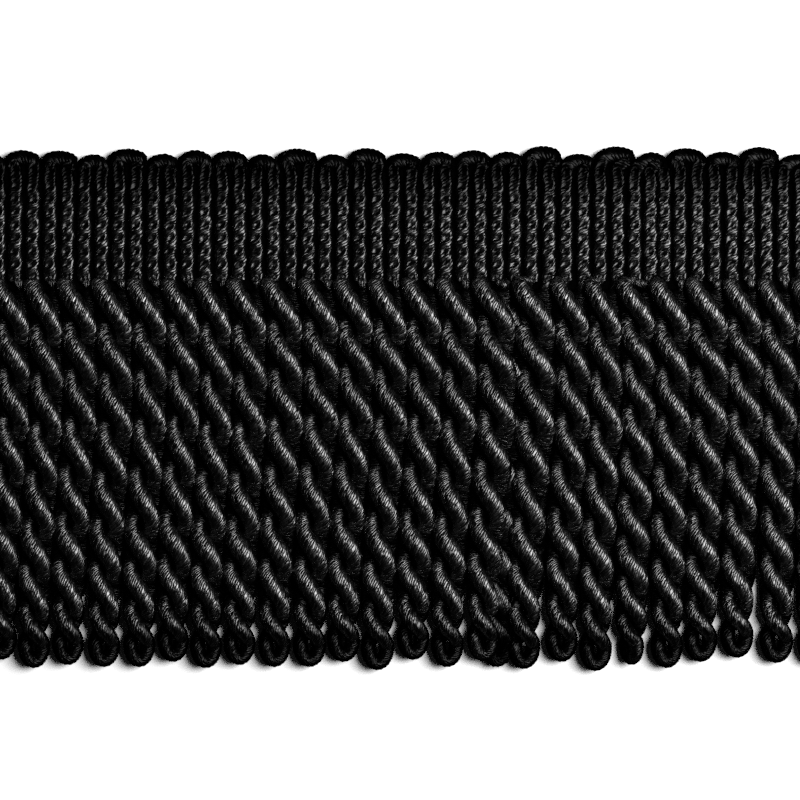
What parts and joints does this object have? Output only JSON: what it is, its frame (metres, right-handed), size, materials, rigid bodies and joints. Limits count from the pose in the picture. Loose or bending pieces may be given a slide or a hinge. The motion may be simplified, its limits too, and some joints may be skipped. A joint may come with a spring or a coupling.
{
  "type": "bullion fringe",
  "caption": "Black bullion fringe: a ribbed woven heading with a looped top edge carries a skirt of two-ply twisted cords with round loop ends, for trimming cushions, curtains and chairs.",
  "frame": {"origin": "under the middle of the whole fringe, on the surface that it lies on", "axes": "+X along the tape, +Y across it towards the looped top edge, +Z out of the face"},
  "size_m": [0.1784, 0.103, 0.006],
  "materials": {
    "heading_yarn": "black wrapped yarn bound by fine threads, low sheen",
    "bullion_yarn": "black wrapped rayon yarn, silky sheen"
  },
  "bodies": {
    "root": {"heading": "heading_yarn", "bullion_skirt": "bullion_yarn"}
  },
  "joints": []
}
